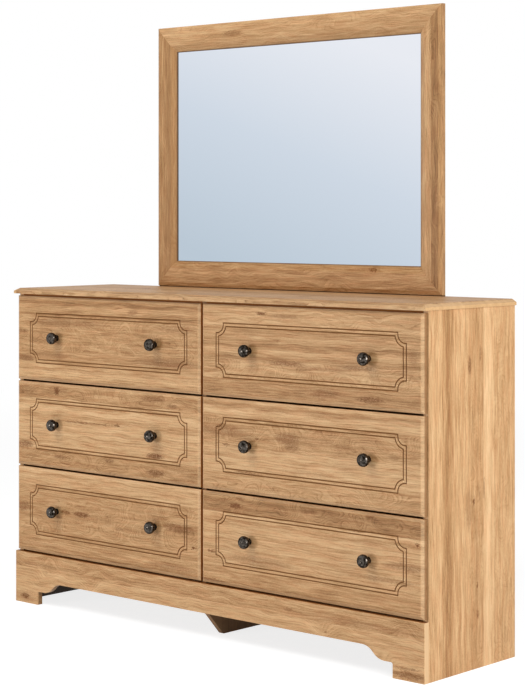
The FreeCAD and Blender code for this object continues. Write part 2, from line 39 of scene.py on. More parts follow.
def add(tree, kind, inputs=(), stops=(), **settings):
    """Adds a shader node, applies its settings, fills its inputs and returns its first output.

    An input is named or numbered among those in use; a socket is linked and a value is set.
    Stops are the positions and colours of a colour ramp.
    """
    made = tree.nodes.new("ShaderNode" + kind)
    for setting, value in settings.items():
        setattr(made, setting, value)
    if stops:
        elements = made.color_ramp.elements
        elements.remove(elements[1])
        for index, (position, colour) in enumerate(stops):
            stop = elements.new(position) if index else elements[0]
            stop.position = position
            stop.color = colour
    in_use = [socket for socket in made.inputs if socket.enabled]
    for key, value in dict(inputs).items():
        socket = in_use[key] if isinstance(key, int) else next(s for s in in_use if s.name == key)
        if isinstance(value, bpy.types.NodeSocket):
            tree.links.new(value, socket)
        else:
            socket.default_value = value
    return next((socket for socket in made.outputs if socket.enabled), made)


def material(name):
    """A new material and its empty node tree."""
    made = bpy.data.materials.new(name)
    made.use_nodes = True
    made.node_tree.nodes.clear()
    return made, made.node_tree


def backdrop_seen(tree):
    """One where the camera, metal or glass sees the backdrop, and zero where it lights something."""
    rays = add(tree, "LightPath").node.outputs
    seen = add(tree, "Math", {0: rays["Is Camera Ray"], 1: rays["Is Glossy Ray"]}, operation="MAXIMUM")
    return add(tree, "Math", {0: seen, 1: rays["Is Transmission Ray"]}, operation="MAXIMUM")


scene = bpy.context.scene
scene.view_settings.view_transform = "Standard"

world = bpy.data.worlds.new("studio_surround")
world.use_nodes = True
scene.world = world
surround = world.node_tree
surround.nodes.clear()
surround_light = 0.24                   # strength as light, where 1 is white as it is seen
strength = add(surround, "MapRange", {0: backdrop_seen(surround), "To Min": surround_light,
                                      "To Max": 1.0})
glow = add(surround, "Background", {"Color": linear("#FFFFFF"), "Strength": strength})
add(surround, "OutputWorld", {"Surface": glow})

floor_half = 30.0                       # metres
floor_mesh = bpy.data.meshes.new("studio_floor")
corners = floor_half * np.array([(-1, -1, 0), (1, -1, 0), (1, 1, 0), (-1, 1, 0)], float)
floor_mesh.from_pydata(corners.tolist(), [], [(0, 1, 2, 3)])
floor = bpy.data.objects.new("studio_floor", floor_mesh)
scene.collection.objects.link(floor)

# Matt paint has no gloss, so the floor shows only the soft shadow. It is seen nearly white, and it
# fades to the surround's white further out, while it lights the object as a plain pale grey.
floor_paint, tree = material("pale_floor_paint")
fade_start, fade_end = 2.0, 7.0         # metres from the dresser
seen_lift = 0.80                        # strength of the white added to what is seen
place = add(tree, "TexCoord").node.outputs["Object"]
distance = add(tree, "VectorMath", {0: place}, operation="LENGTH").node.outputs["Value"]
fade = add(tree, "MapRange", {0: distance, "From Min": fade_start, "From Max": fade_end},
           interpolation_type="SMOOTHSTEP")
seen = backdrop_seen(tree)
lift = add(tree, "Math", {0: seen, 1: seen_lift}, operation="MULTIPLY")
fade = add(tree, "Math", {0: fade, 1: seen}, operation="MULTIPLY")
shade = add(tree, "Mix", {"Factor": seen, "A": linear("#E6E6E6"), "B": linear("#A8A8A8")},
            data_type="RGBA")
paint = add(tree, "BsdfDiffuse", {"Color": shade})
light = add(tree, "Emission", {"Strength": lift})
near = add(tree, "AddShader", {0: paint, 1: light})
far = add(tree, "Emission", {"Strength": 1.0})
both = add(tree, "MixShader", {"Fac": fade, 1: near, 2: far})
add(tree, "OutputMaterial", {"Surface": both})
floor_mesh.materials.append(floor_paint)

lamp_aim = Vector((0.0, 0.0, 0.7))
lamps = (        # name, place and width in metres, power in watts, and whether metal and glass show it
    ("front_softbox", (-3.0, -6.2, 0.8), 1.5, 148.0, True),
    ("side_softbox", (6.0, -0.9, 2.4), 3.0, 316.0, True),
    ("overhead_softbox", (-1.4, -3.0, 4.6), 2.0, 98.0, False),
)
for name, position, width, power, shown in lamps:
    lamp = bpy.data.lights.new(name, "AREA")
    lamp.shape = "SQUARE"
    lamp.size = width
    lamp.energy = power
    holder = bpy.data.objects.new(name, lamp)
    holder.location = position
    holder.rotation_euler = (lamp_aim - Vector(position)).to_track_quat("-Z", "Y").to_euler()
    holder.visible_glossy = shown
    scene.collection.objects.link(holder)

camera_turn = 41.739                    # degrees to the left from facing the drawers straight on
lens = bpy.data.cameras.new("camera")
lens.lens = 98.75
lens.sensor_width = 36.0
lens.shift_y = -0.1927
lens.clip_end = 100.0
camera = bpy.data.objects.new("camera", lens)
camera.location = (3.48505, -3.84383, 1.13471)
camera.rotation_euler = (math.radians(90.0), 0.0, math.radians(camera_turn))
scene.collection.objects.link(camera)
scene.camera = camera

# ================================================================ side panels
# Two boards of particle board wrapped in a foil that is printed as rustic oak: long staves side by
# side, with pale sapwood, arches of growth rings and small dark knots. They stand on the floor, and
# dowels and the stretchers hold them.

along_x = (math.radians(-90), 0.0, 0.0)                # level grain on a face that looks to the front
along_z = (0.0, math.radians(90), 0.0)                 # upright grain on a face that looks to the side
upright = (math.radians(90), 0.0, math.radians(90))    # upright grain on a face that looks to the front
flat = (0.0, 0.0, 0.0)                                 # level grain on a face that looks up
millimetres = (1000.0, 1000.0, 1000.0)


def streaks(tree, grain, length, width, detail=2.0):
    """Streaks about as long along the grain and as wide across it as given, in mm: noise about zero."""
    stretched = add(tree, "VectorMath", {0: grain, 1: (1 / length, 1 / width, 1 / width)},
                    operation="MULTIPLY")
    made = add(tree, "TexNoise", {"Vector": stretched, "Detail": detail})
    return add(tree, "Math", {0: made, 1: 0.5}, operation="SUBTRACT")


def pushed(tree, place, length, width, along, across, detail):
    """Places pushed about along and across the grain, by up to half of each reach either way.

    The push is noise as long and as wide as given. All are in mm.
    """
    stretched = add(tree, "VectorMath", {0: place, 1: (1 / length, 1 / width, 1 / width)},
                    operation="MULTIPLY")
    push = add(tree, "TexNoise", {"Vector": stretched, "Detail": detail}).node.outputs["Color"]
    push = add(tree, "VectorMath", {0: push, 1: (along, across, 0.0),
                                    2: (-along / 2, -across / 2, 0.0)}, operation="MULTIPLY_ADD")
    return add(tree, "VectorMath", {0: place, 1: push}, operation="ADD")


def oak_foil(node, turn, height, staves, marks=(), seed=0.0, figure=1.0, routed=None, painted=()):
    """Printed oak for one board, drawn in millimetres from its middle: u along the grain, v across it.

    Staves are (upper edge, darkness, pith), from below, with the edge and the pith as shares of the
    height. The growth rings are circles about a pith that wanders in and out of the board along the
    stave, so they show as lines, arches and eyes. Marks are (u, v, length, width, darkness, rings):
    knots and smudges, and how many rings they push aside. Routed is half the length, height and
    thickness of a board with a routed line. Painted holds (axis, start, end, colour, strength), with
    X, Y and Z for u, v and outwards: where a wrapped edge has its own colour, and where light and
    shade are painted in, as paler bevels and ends and as darker edges, faces and recesses.
    A printed foil is smooth and half matt, so the grain is nearly all colour, with a trace of relief.
    """
    made, tree = material("oak_foil_" + node)
    low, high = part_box(node)
    objects = add(tree, "TexCoord").node.outputs["Object"]
    centred = add(tree, "VectorMath", {0: objects, 1: tuple((low + high) / 2)}, operation="SUBTRACT")
    turned = add(tree, "Mapping", {"Vector": centred, "Rotation": turn, "Scale": millimetres})
    wavy = pushed(tree, turned, 420, 150, 24.0, 9.0, 1.0)
    v_wavy = add(tree, "SeparateXYZ", {0: wavy}).node.outputs["Y"]

    # The ramp holds each stave's darkness in red, its pith in green and a place in the print in blue.
    print_length, seed_step = 4000.0, 1000.0
    first_place, place_step = 0.137, 0.381
    stops = []
    foot = 0.0
    for index, (edge, tone, pith) in enumerate(staves):
        stops.append((foot, (tone, pith, (first_place + place_step * index) % 1.0, 1.0)))
        foot = edge
    share = add(tree, "MapRange", {0: v_wavy, "From Min": -height / 2, "From Max": height / 2})
    stave = add(tree, "ValToRGB", {0: share}, stops=stops)
    stave.node.color_ramp.interpolation = "CONSTANT"
    stave = add(tree, "SeparateColor", {0: stave}).node.outputs
    shift = add(tree, "Math", {0: stave["Blue"], 1: print_length, 2: seed_step * seed},
                operation="MULTIPLY_ADD")
    shift = add(tree, "CombineXYZ", {0: shift, 2: shift})
    grain = add(tree, "VectorMath", {0: wavy, 1: shift}, operation="ADD")

    # Knots and smudges: a firm core each, with a ragged edge, stretched along the grain. The rings
    # bend away from a wider, softer hump about it, which falls off as a bell curve.
    ragged = pushed(tree, turned, 34, 11, 44.0, 13.0, 3.0)
    rings_bent = 0.0
    knots = 0.0
    for u, v, length, width, darkness, rings in marks:
        away = add(tree, "Mapping", {"Vector": ragged, "Location": (-u / length, -v / width, 0.0),
                                     "Scale": (1 / length, 1 / width, 0.0)})
        away = add(tree, "VectorMath", {0: away, 1: away}, operation="DOT_PRODUCT")
        away = away.node.outputs["Value"]
        hump = add(tree, "Math", {0: math.exp(-1.0), 1: away}, operation="POWER")
        rings_bent = add(tree, "Math", {0: hump, 1: rings, 2: rings_bent}, operation="MULTIPLY_ADD")
        core = add(tree, "MapRange", {0: away, "From Min": 1.7, "From Max": 0.2},
                   interpolation_type="SMOOTHSTEP")
        knots = add(tree, "Math", {0: core, 1: darkness, 2: knots}, operation="MULTIPLY_ADD")

    # Growth rings 7 mm apart at the surface, with a thin dark line for the end of each summer, and
    # the zones of darker and lighter years among them.
    ring_spacing = 7.0
    pith_wander = 300.0
    ripple_rings = 0.5
    zones_per_ring = 0.36
    zone_contrast = 0.46 * figure
    line_contrast = 0.28 * figure
    line_sharpness = 3.0
    pith = add(tree, "MapRange", {0: stave["Green"], "To Min": -height / 2, "To Max": height / 2},
               clamp=False)
    across = add(tree, "Math", {0: v_wavy, 1: pith}, operation="SUBTRACT")
    depth = streaks(tree, grain, 700, 500, 1.0)
    depth = add(tree, "Math", {0: depth, 1: pith_wander}, operation="MULTIPLY")
    radius = add(tree, "CombineXYZ", {0: across, 1: depth})
    radius = add(tree, "VectorMath", {0: radius}, operation="LENGTH").node.outputs["Value"]
    rings = add(tree, "Math", {0: radius, 1: 1 / ring_spacing, 2: rings_bent}, operation="MULTIPLY_ADD")
    ripple = streaks(tree, grain, 420, 30)
    rings = add(tree, "Math", {0: ripple, 1: ripple_rings, 2: rings}, operation="MULTIPLY_ADD")
    years = add(tree, "Math", {0: rings, 1: zones_per_ring, 2: stave["Blue"]}, operation="MULTIPLY_ADD")
    years = add(tree, "TexNoise", {"W": years, "Scale": 1.0, "Detail": 2.0}, noise_dimensions="1D")
    years = add(tree, "Math", {0: years, 1: 0.5}, operation="SUBTRACT")
    dark = add(tree, "Math", {0: years, 1: zone_contrast, 2: stave["Red"]}, operation="MULTIPLY_ADD")
    phase = add(tree, "Math", {0: rings}, operation="FRACT")
    line = add(tree, "Math", {0: phase, 1: line_sharpness}, operation="POWER")
    clear = streaks(tree, grain, 200, 30)
    clear = add(tree, "MapRange", {0: clear, "From Min": -0.14, "From Max": 0.14, "To Min": 0.15})
    line = add(tree, "Math", {0: line, 1: clear}, operation="MULTIPLY")
    dark = add(tree, "Math", {0: line, 1: line_contrast, 2: dark}, operation="MULTIPLY_ADD")

    # Streaks, from broad smudges down to short fibres, the finest drawn 3 mm wide, some ten times
    # their real width, so that they show: (length, width, strength) in mm.
    for length, width, strength in (
            (520, 50, 0.52), (420, 11, 0.46), (330, 4.2, 0.60), (60, 3.0, 0.34), (12, 2.8, 0.60)):
        streak = streaks(tree, grain, length, width)
        dark = add(tree, "Math", {0: streak, 1: strength, 2: dark}, operation="MULTIPLY_ADD")

    # Open pores, drawn 1 mm wide, a few times their real width, so that they show.
    pore_darkness = 0.24
    pores = add(tree, "MapRange", {0: streaks(tree, grain, 18, 1.1, 1.0),
                                   "From Min": 0.10, "From Max": 0.24})
    dark = add(tree, "Math", {0: pores, 1: pore_darkness, 2: dark}, operation="MULTIPLY_ADD")

    # From sapwood to the darkest heartwood. Knots are speckled red-brown, and a faint rosy blush
    # drifts over the whole.
    colour = add(tree, "ValToRGB", {0: dark}, stops=(
        (0.00, linear("#E1BD90")), (0.30, linear("#C9A173")), (0.52, linear("#AE8457")),
        (0.76, linear("#8A6136")), (1.00, linear("#5C3A1A"))))
    speckle = add(tree, "MapRange", {0: streaks(tree, grain, 26, 8, 3.0),
                                     "From Min": -0.14, "From Max": 0.14,
                                     "To Min": 0.58, "To Max": 1.80})
    knots = add(tree, "Math", {0: knots, 1: speckle}, operation="MULTIPLY", use_clamp=True)
    colour = add(tree, "Mix", {"Factor": knots, "A": colour, "B": linear("#6C3D0A")}, data_type="RGBA")
    blush = add(tree, "MapRange", {0: streaks(tree, grain, 300, 40),
                                   "From Min": -0.08, "From Max": 0.18, "To Max": 0.6})
    colour = add(tree, "Mix", {"Factor": blush, "A": colour, "B": linear("#FFEEE6")}, data_type="RGBA",
                 blend_type="MULTIPLY")
    parts = add(tree, "SeparateXYZ", {0: turned}).node.outputs
    # Painted tones over the foil: a wrapped edge's own colour, and painted light and shade, where
    # bevels and ends are painted paler as highlights and inner faces, edges and recesses darker as
    # shade.
    for axis, start, end, paint, strength in painted:
        there = add(tree, "MapRange", {0: parts[axis], "From Min": start, "From Max": end,
                                       "To Max": strength})
        colour = add(tree, "Mix", {"Factor": there, "A": colour, "B": linear(paint)}, data_type="RGBA")
    if routed:
        # The routed line is darkened from 0.2 to 2.3 mm below the face, partly as the foil creased and
        # stained there and partly as painted shade in the groove, but not in the 20 mm next to the
        # board's edges, where the bevel is as deep.
        half_length, half_height, face = routed
        ramp_depth = 4.0
        edge_margin = 20.0
        stain_and_shade = 0.85
        deep = add(tree, "MapRange", {0: parts["Z"], "From Min": face, "From Max": face - ramp_depth})
        deep = add(tree, "ValToRGB", {0: deep}, stops=(
            (0.04, (0, 0, 0, 1)), (0.22, (1, 1, 1, 1)), (0.56, (1, 1, 1, 1)), (0.60, (0, 0, 0, 1))))
        for axis, reach in (("X", half_length), ("Y", half_height)):
            inset = add(tree, "Math", {0: parts[axis]}, operation="ABSOLUTE")
            inset = add(tree, "Math", {0: inset, 1: reach - edge_margin}, operation="LESS_THAN")
            deep = add(tree, "Math", {0: deep, 1: inset}, operation="MULTIPLY")
        deep = add(tree, "Math", {0: deep, 1: stain_and_shade}, operation="MULTIPLY")
        colour = add(tree, "Mix", {"Factor": deep, "A": colour, "B": linear("#72471B")},
                     data_type="RGBA")
    relief = add(tree, "Bump", {"Height": pores, "Strength": 0.25, "Distance": 0.0001}, invert=True)
    surface = add(tree, "BsdfPrincipled", {"Base Color": colour, "Roughness": 0.5, "IOR": 1.45,
                                           "Specular IOR Level": 0.3, "Normal": relief})
    add(tree, "OutputMaterial", {"Surface": surface})
    return made


def dress(node, finish, arris=0.0):
    """Gives a CAD node its finish, and rounds its sharp edges by a width in metres."""
    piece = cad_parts[node]
    piece.data.materials.clear()
    piece.data.materials.append(finish)
    if arris:
        piece.modifiers.new("join_triangles", "WELD").merge_threshold = 1e-6
        eased = piece.modifiers.new("eased_edges", "BEVEL")
        eased.limit_method = "ANGLE"
        eased.angle_limit = math.radians(30)
        eased.width = arris
        eased.segments = 2
        eased.harden_normals = True


side_width = 367.0                      # mm, as all that is drawn on the foil
side_arris = 0.0006                     # metres, as all rounding is
side_staves = ((0.15, 0.30, 0.40), (0.27, 0.50, 0.90), (0.47, 0.31, -0.60), (0.62, 0.40, 0.55),
               (0.745, 0.16, 1.40), (1.00, 0.33, 0.85))
right_side_marks = (
    (306.0, -14.0, 24.0, 7.0, 0.55, 1.5), (332.0, 32.0, 18.0, 4.0, 0.35, 1.0),
    (-32.0, 4.0, 9.0, 4.5, 1.2, 2.5), (-48.0, -18.0, 48.0, 14.0, 0.25, 2.0),
    (-12.0, 27.0, 22.0, 3.0, 0.35, 0.5), (-2.0, 47.0, 26.0, 3.0, 0.35, 0.5),
    (166.0, -2.0, 34.0, 4.0, 0.25, 0.5), (-150.0, 16.0, 70.0, 10.0, 0.12, 5.0),
    (-240.0, 18.0, 60.0, 11.0, 0.12, 6.0), (-245.0, 19.0, 6.0, 3.0, 0.75, 1.0),
    (-314.0, 20.0, 12.0, 5.0, 0.50, 2.0),
)
left_side_marks = ((180.0, 60.0, 16.0, 6.0, 0.8, 2.0), (-210.0, -40.0, 26.0, 8.0, 0.5, 2.0),
                   (40.0, 10.0, 80.0, 12.0, 0.15, 4.0))
front_edge = ("Y", -182.6, -183.3, "#D0A878", 0.35)
# Painted shade: the inner faces of the side panels, seen through the arch and the gaps, are painted
# near black.
right_inner_painted_shade = ("Z", 7.0, 7.6, "#26170A", 0.94)
left_inner_painted_shade = ("Z", -7.0, -7.6, "#26170A", 0.94)
dress("side_panel_right", oak_foil("side_panel_right", along_z, side_width, side_staves,
                                   right_side_marks, seed=0.31, figure=0.7,
                                   painted=(front_edge, right_inner_painted_shade)), side_arris)
dress("side_panel_left", oak_foil("side_panel_left", along_z, side_width, side_staves,
                                  left_side_marks, seed=2.17, figure=0.8,
                                  painted=(front_edge, left_inner_painted_shade)), side_arris)

# ================================================================ base rail
# A board across the whole front, cut to two feet and a flat arch with ogee ends, the foil wrapped
# over its edges. It is glued to the front edges of the side panels and the partition.

rail_height = 147.4
rail_arris = 0.0006
rail_staves = ((0.70, 0.29, -0.20), (1.00, 0.40, 1.60))
rail_marks = (
    (-703.0, -54.0, 19.0, 8.0, 0.50, 4.0), (-700.0, -54.0, 36.0, 16.0, 0.18, 3.0),
    (700.0, -60.0, 52.0, 9.0, 0.50, 1.5), (690.0, -44.0, 40.0, 3.5, 0.42, 0.5),
    (310.0, 47.0, 12.0, 5.0, 0.30, 1.0), (435.0, 7.0, 5.0, 3.0, 0.45, 1.0),
    (560.0, 42.0, 160.0, 9.0, 0.20, 1.0), (-650.0, 42.0, 90.0, 4.0, 0.25, 0.5),
)
# Painted light and shade on the rail: its cut edges behind the face are painted darker, as painted
# shade under the arch and on the feet's inner faces; its top edge is dark brown, partly as painted
# shade in the gap under the drawers; its two ends are paler, as painted highlights.
rail_edges_light_and_shade = (("Z", 5.2, 4.4, "#6E4A26", 0.55), ("X", 743.5, 743.8, "#DCB88C", 0.85),
              ("X", -743.5, -743.8, "#DCB88C", 0.85), ("Y", 73.1, 73.6, "#7C4410", 0.92))
dress("base_rail", oak_foil("base_rail", along_x, rail_height, rail_staves, rail_marks, seed=5.3,
                            painted=rail_edges_light_and_shade), rail_arris)

# ================================================================ centre partition
# A board between the two columns of drawers, faced with a plain brown foil, which gives the eye a dull
# brown with faint upright streaks. Dowels hold it to the top, and only its toe shows, under the arch.


def sawn_wood(name, turn, pale, deep):
    """Plain straight-grained wood or its print: broad soft streaks and short fibres in two colours.

    It is dull, with a trace of relief from the fibres, drawn 0.8 mm wide so that they show.
    """
    made, tree = material(name)
    objects = add(tree, "TexCoord").node.outputs["Object"]
    grain = add(tree, "Mapping", {"Vector": objects, "Rotation": turn, "Scale": millimetres})
    dark = 0.45
    for length, width, strength in ((500, 40, 1.4), (160, 7, 0.9), (40, 1.5, 0.7)):
        dark = add(tree, "Math", {0: streaks(tree, grain, length, width), 1: strength, 2: dark},
                   operation="MULTIPLY_ADD")
    colour = add(tree, "Mix", {"Factor": dark, "A": linear(pale), "B": linear(deep)}, data_type="RGBA")
    fibres = streaks(tree, grain, 30, 0.8)
    relief = add(tree, "Bump", {"Height": fibres, "Strength": 0.3, "Distance": 0.0002})
    surface = add(tree, "BsdfPrincipled", {"Base Color": colour, "Roughness": 0.7, "IOR": 1.45,
                                           "Specular IOR Level": 0.3, "Normal": relief})
    add(tree, "OutputMaterial", {"Surface": surface})
    return made


partition_arris = 0.0005
dress("centre_partition", sawn_wood("brown_faced_board", along_z, "#9C7A58", "#7C5C40"),
      partition_arris)

# ================================================================ case stretchers and glue blocks
# Flat boards faced with a warm brown print, which tie the sides to the partition, and three-sided
# blocks of sawn pine, matt and pale, glued into the corners between the base rail and the uprights.

stretcher_arris = 0.0006
dress("case_stretchers", sawn_wood("brown_faced_stretcher", along_x, "#9C6028", "#7E4A1C"),
      stretcher_arris)
dress("glue_blocks", sawn_wood("pine_upright", along_z, "#DFC598", "#C5A06B"), stretcher_arris)

# ================================================================ back panel
# Thin hardboard let into a rebate at the rear of each side panel. It is brown wood fibre, pressed hot
# and smooth, and gives the eye a slightly polished felt of fibres with darker specks.


def hardboard(name, pale, deep):
    """Pressed fibre in two colours: a felt of fibres 5 mm long, and clouds about 160 mm across."""
    made, tree = material(name)
    objects = add(tree, "TexCoord").node.outputs["Object"]
    place = add(tree, "Mapping", {"Vector": objects, "Scale": millimetres})
    felt = add(tree, "TexNoise", {"Vector": place, "Scale": 1 / 5, "Detail": 5.0, "Distortion": 1.5})
    cloud = add(tree, "TexNoise", {"Vector": place, "Scale": 1 / 160, "Detail": 2.0})
    cloud_strength = 0.5
    dark = add(tree, "Math", {0: cloud, 1: cloud_strength, 2: felt}, operation="MULTIPLY_ADD")
    dark = add(tree, "MapRange", {0: dark, "From Min": 0.45, "From Max": 1.05})
    colour = add(tree, "Mix", {"Factor": dark, "A": linear(pale), "B": linear(deep)}, data_type="RGBA")
    relief = add(tree, "Bump", {"Height": felt, "Strength": 0.2, "Distance": 0.0002})
    surface = add(tree, "BsdfPrincipled", {"Base Color": colour, "Roughness": 0.55, "IOR": 1.45,
                                           "Normal": relief})
    add(tree, "OutputMaterial", {"Surface": surface})
    return made


brown_hardboard = hardboard("brown_hardboard", "#9A7552", "#6F4F35")
dress("back_panel", brown_hardboard)

# ================================================================ top panel and its dowels
# The top is a board wrapped like the sides, bevelled along its front and its two ends. Beech dowels,
# close-grained and pale, hold it to the uprights and are hidden once it is on.

top_depth = 387.0
top_arris = 0.0005
top_staves = ((0.18, 0.36, 0.5), (0.42, 0.27, 1.7), (0.63, 0.40, 0.50), (0.82, 0.28, -0.8),
              (1.0, 0.38, 0.8))
top_marks = ((-420.0, 30.0, 18.0, 6.0, 0.8, 2.0), (260.0, -70.0, 26.0, 8.0, 0.5, 2.0),
             (-90.0, -110.0, 90.0, 10.0, 0.18, 3.0), (560.0, 90.0, 14.0, 5.0, 0.6, 1.5))
# Painted light and shade on the top: its front bevel and edge and its two ends are painted paler, as
# painted highlights, and a painted shade darkens its surface towards the back.
top_light_and_shade = (("Y", -179.5, -181.5, "#F0D4A8", 0.05), ("Y", -175.0, 30.0, "#8F6030", 0.22),
             ("X", 737.5, 739.5, "#CFA878", 0.70), ("X", -737.5, -739.5, "#CFA878", 0.70))
dress("top_panel", oak_foil("top_panel", flat, top_depth, top_staves, top_marks, seed=7.9,
                            figure=1.6, painted=top_light_and_shade), top_arris)
dress("top_dowels", sawn_wood("beech_dowel", along_z, "#DDBE93", "#C59F70"))

# ================================================================ drawer fronts
# Boards with a bevelled edge and a double line routed round them, notched at its corners, wrapped in
# the same foil with the grain level. Each is screwed to its drawer box from inside.

front_looks = {          # staves and marks, from the top row down, first on the right and then the left
    "top_right": (((0.21, 0.50, 1.8), (0.42, 0.36, 0.30), (0.78, 0.43, 1.6), (1.0, 0.34, 0.4)), (
        (-156.0, 102.0, 16.0, 4.0, 0.72, 1.0), (-80.0, 97.0, 50.0, 6.0, 0.26, 0.0),
        (-70.0, -22.0, 60.0, 7.0, 0.49, 0.8), (165.0, -22.0, 55.0, 6.0, 0.43, 0.8),
        (40.0, -30.0, 90.0, 5.0, 0.26, 0.5), (-100.0, 35.0, 9.0, 3.0, 0.43, 1.0),
        (58.0, -93.0, 45.0, 12.0, 0.32, 1.0), (204.0, -98.0, 42.0, 8.0, 0.58, 1.0),
        (338.0, 15.0, 15.0, 22.0, 0.23, 0.0))),
    "middle_right": (((0.22, 0.37, -1.0), (0.50, 0.25, 1.9), (0.79, 0.42, 0.65), (1.0, 0.34, 2.0)), (
        (-300.0, 38.0, 90.0, 14.0, 0.29, 0.5), (-66.0, 33.0, 40.0, 15.0, 0.43, 2.0),
        (-50.0, 12.0, 25.0, 9.0, 0.36, 1.0), (28.0, 33.0, 60.0, 13.0, 0.10, 4.0),
        (113.0, 26.0, 30.0, 10.0, 0.14, 2.5), (-171.0, 25.0, 4.0, 3.0, 0.87, 1.0),
        (-281.0, 2.0, 11.0, 4.0, 0.51, 0.5), (280.0, 15.0, 20.0, 6.0, 0.32, 2.0),
        (343.0, 15.0, 16.0, 11.0, 0.06, 3.0), (-200.0, -67.0, 50.0, 3.0, 0.43, 0.0),
        (0.0, -50.0, 90.0, 5.0, 0.14, 0.0))),
    "bottom_right": (((0.20, 0.42, 2.0), (0.79, 0.30, 1.9), (1.0, 0.58, 0.90)), (
        (-246.0, 92.0, 20.0, 7.0, 0.80, 2.0), (-230.0, 112.0, 16.0, 3.0, 0.51, 0.5),
        (4.0, 103.0, 30.0, 5.0, 0.46, 1.0), (204.0, 110.0, 14.0, 4.0, 0.51, 0.5),
        (258.0, 105.0, 22.0, 6.0, 0.12, 2.5), (350.0, 58.0, 5.0, 4.0, 0.95, 1.0),
        (-331.0, -36.0, 14.0, 4.0, 0.65, 1.0), (-160.0, -45.0, 110.0, 15.0, 0.25, 0.5),
        (318.0, 0.0, 70.0, 10.0, 0.36, 0.5), (250.0, -38.0, 90.0, 6.0, 0.29, 1.5),
        (-340.0, -112.0, 60.0, 4.0, 0.43, 0.0))),
    "top_left": (((0.20, 0.34, 2.2), (0.36, 0.41, 1.8), (0.78, 0.44, 0.54), (1.0, 0.48, 2.0)), (
        (113.0, 87.0, 20.0, 7.0, 0.35, 0.5), (-160.0, 50.0, 150.0, 13.0, 0.29, 0.5),
        (280.0, 50.0, 80.0, 12.0, 0.26, 0.5), (-25.0, 5.0, 120.0, 24.0, -0.08, 6.0),
        (-345.0, 20.0, 25.0, 5.0, 0.43, 1.0), (-225.0, -45.0, 70.0, 9.0, 0.26, 0.5),
        (240.0, -45.0, 120.0, 13.0, 0.38, 0.5), (-330.0, -58.0, 36.0, 9.0, 0.51, 0.5))),
    "middle_left": (((0.22, 0.45, 0.12), (0.82, 0.28, 1.8), (1.0, 0.45, 0.90)), (
        (-197.0, 100.0, 9.0, 11.0, 0.87, 1.0), (-190.0, 106.0, 42.0, 8.0, 0.32, 0.5),
        (-325.0, 98.0, 40.0, 12.0, 0.29, 0.5), (190.0, 103.0, 45.0, 7.0, 0.43, 1.0),
        (265.0, 88.0, 20.0, 5.0, 0.46, 0.5), (-75.0, 18.0, 120.0, 2.6, 0.49, 0.0),
        (50.0, 21.0, 10.0, 4.0, 0.58, 1.0), (200.0, -52.0, 32.0, 7.0, 0.72, 1.5),
        (206.0, -28.0, 32.0, 18.0, 0.14, 1.0), (-335.0, -60.0, 34.0, 10.0, 0.52, 0.5),
        (-184.0, -87.0, 30.0, 6.0, 0.43, 0.5), (20.0, -80.0, 20.0, 5.0, 0.51, 0.5),
        (86.0, -90.0, 14.0, 8.0, 0.15, 2.0), (203.0, -97.0, 35.0, 9.0, 0.58, 1.5),
        (290.0, -92.0, 60.0, 15.0, 0.08, 6.0))),
    "bottom_left": (((0.20, 0.40, 2.0), (0.79, 0.43, 0.52), (1.0, 0.28, 2.4)), (
        (-160.0, 6.0, 20.0, 7.0, 0.51, 1.0), (-94.0, 6.0, 34.0, 8.0, 0.61, 3.0),
        (-90.0, 6.0, 120.0, 24.0, 0.04, 4.0), (60.0, -18.0, 20.0, 4.0, 0.36, 1.0),
        (288.0, 10.0, 60.0, 12.0, 0.49, 2.5), (-340.0, 5.0, 26.0, 13.0, 0.46, 0.5),
        (345.0, -37.0, 7.0, 4.0, 0.95, 1.5), (265.0, -98.0, 90.0, 8.0, 0.29, 0.5),
        (-270.0, -98.0, 120.0, 7.0, 0.14, 0.5))),
}
front_half_length, front_half_height, front_half_thickness = 367.8, 121.5, 6.75
first_seed, seed_apart = 1.0, 1.37
# Painted highlights: the bevels are painted paler, the right-hand one more. The top and bottom edges
# behind the bevel are painted a darker brown, partly as painted shade in the gaps between the rows.
bevel_highlights_edges_and_shade = (("Z", 6.6, 5.4, "#EFD6B4", 0.14), ("X", 358.3, 359.3, "#E8C69C", 0.12),
               ("Y", 121.2, 121.4, "#9C622C", 0.9), ("Y", -121.2, -121.4, "#9C622C", 0.9))
# The ends are painted a darker brown, partly as painted shade in the gap between the columns and beside
# the side panel.
end_edges_and_shade = {"left": ("X", 367.3, 367.6, "#A8641C", 0.92),
             "right": ("X", 367.3, 367.6, "#7A5026", 0.72)}
for index, (drawer, (staves, marks)) in enumerate(front_looks.items()):
    node = "drawer_" + drawer + "_front"
    column = drawer.split("_")[1]
    dress(node, oak_foil(node, along_x, 2 * front_half_height, staves, marks,
                         seed=first_seed + seed_apart * index,
                         routed=(front_half_length, front_half_height, front_half_thickness),
                         painted=(*bevel_highlights_edges_and_shade, end_edges_and_shade[column])))

# ================================================================ drawer boxes
# Two sides and a back of board wrapped in a birch-print foil, pale, even and dull, and a thin bottom
# of hardboard with a pale painted face, slid into grooves in them and in the front.

box_arris = 0.0005
grain_back = (0.0, 0.0, math.radians(-90))             # level grain on a board that runs to the back
birch_sides = sawn_wood("birch_print_foil_sides", grain_back, "#E3D0AE", "#CDB48B")
birch_backs = sawn_wood("birch_print_foil_backs", along_x, "#E3D0AE", "#CDB48B")
pale_hardboard = hardboard("pale_faced_hardboard", "#D9C7A6", "#BFA883")
for drawer in front_looks:
    dress("drawer_" + drawer + "_side_outer", birch_sides, box_arris)
    dress("drawer_" + drawer + "_side_inner", birch_sides, box_arris)
    dress("drawer_" + drawer + "_back", birch_backs, box_arris)
    dress("drawer_" + drawer + "_base", pale_hardboard)

# ================================================================ drawer runners
# Channels rolled from steel strip and zinc plated: one of each pair is screwed to the case and one to
# the drawer. The plating is a cool bright grey with a cloudy bloom, in patches some 14 mm across.

